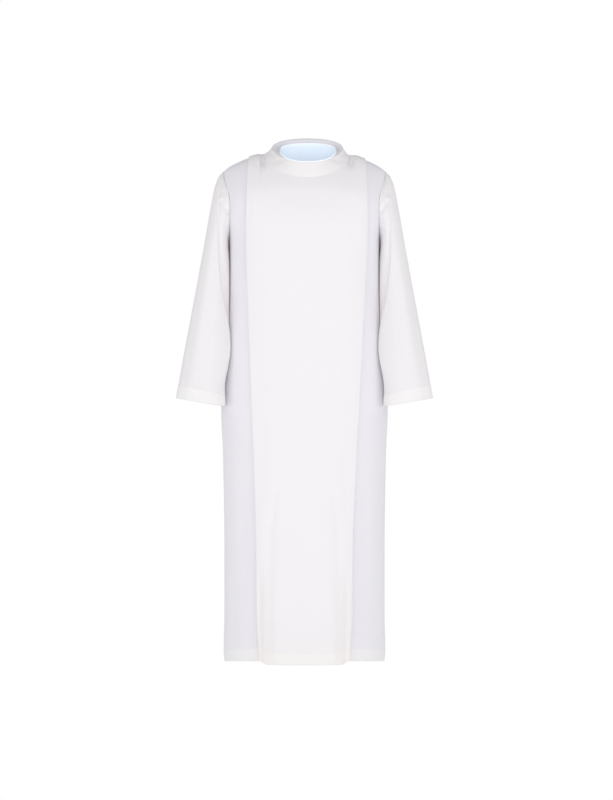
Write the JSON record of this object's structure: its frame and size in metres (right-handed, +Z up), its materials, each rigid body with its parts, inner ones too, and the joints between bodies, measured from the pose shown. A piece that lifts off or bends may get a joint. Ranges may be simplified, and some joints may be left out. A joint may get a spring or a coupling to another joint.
{
  "type": "alb robe",
  "caption": "Long white alb in its worn shape: wide pleated front panel, funnel collar and straight sleeves, hollow, open at neck, hem and cuffs.",
  "frame": {"origin": "midway between the points where the two shoulder seams meet the collar, where the wearer's shoulders carry the robe", "axes": "+Z up, the wearer faces -Y, the wearer's left side is at +X"},
  "size_m": [0.723, 0.3011, 1.4897],
  "materials": {
    "cloth": "white poplin weave, matt with a faint sheen",
    "collar": "warm white poplin over interfacing, matt",
    "lining": "pale blue-white lining weave, smooth and matt"
  },
  "bodies": {
    "root": {"front_centre": "cloth", "front_centre_hem": "cloth", "front_side_left": "cloth", "front_side_right": "cloth", "front_side_hem_left": "cloth", "front_side_hem_right": "cloth", "back": "cloth", "back_hem": "cloth", "sleeve_left": "cloth", "sleeve_right": "cloth", "cuff_hem_left": "cloth", "cuff_hem_right": "cloth", "collar_front": "collar", "collar_back": "collar", "collar_inner": "lining"}
  },
  "joints": []
}
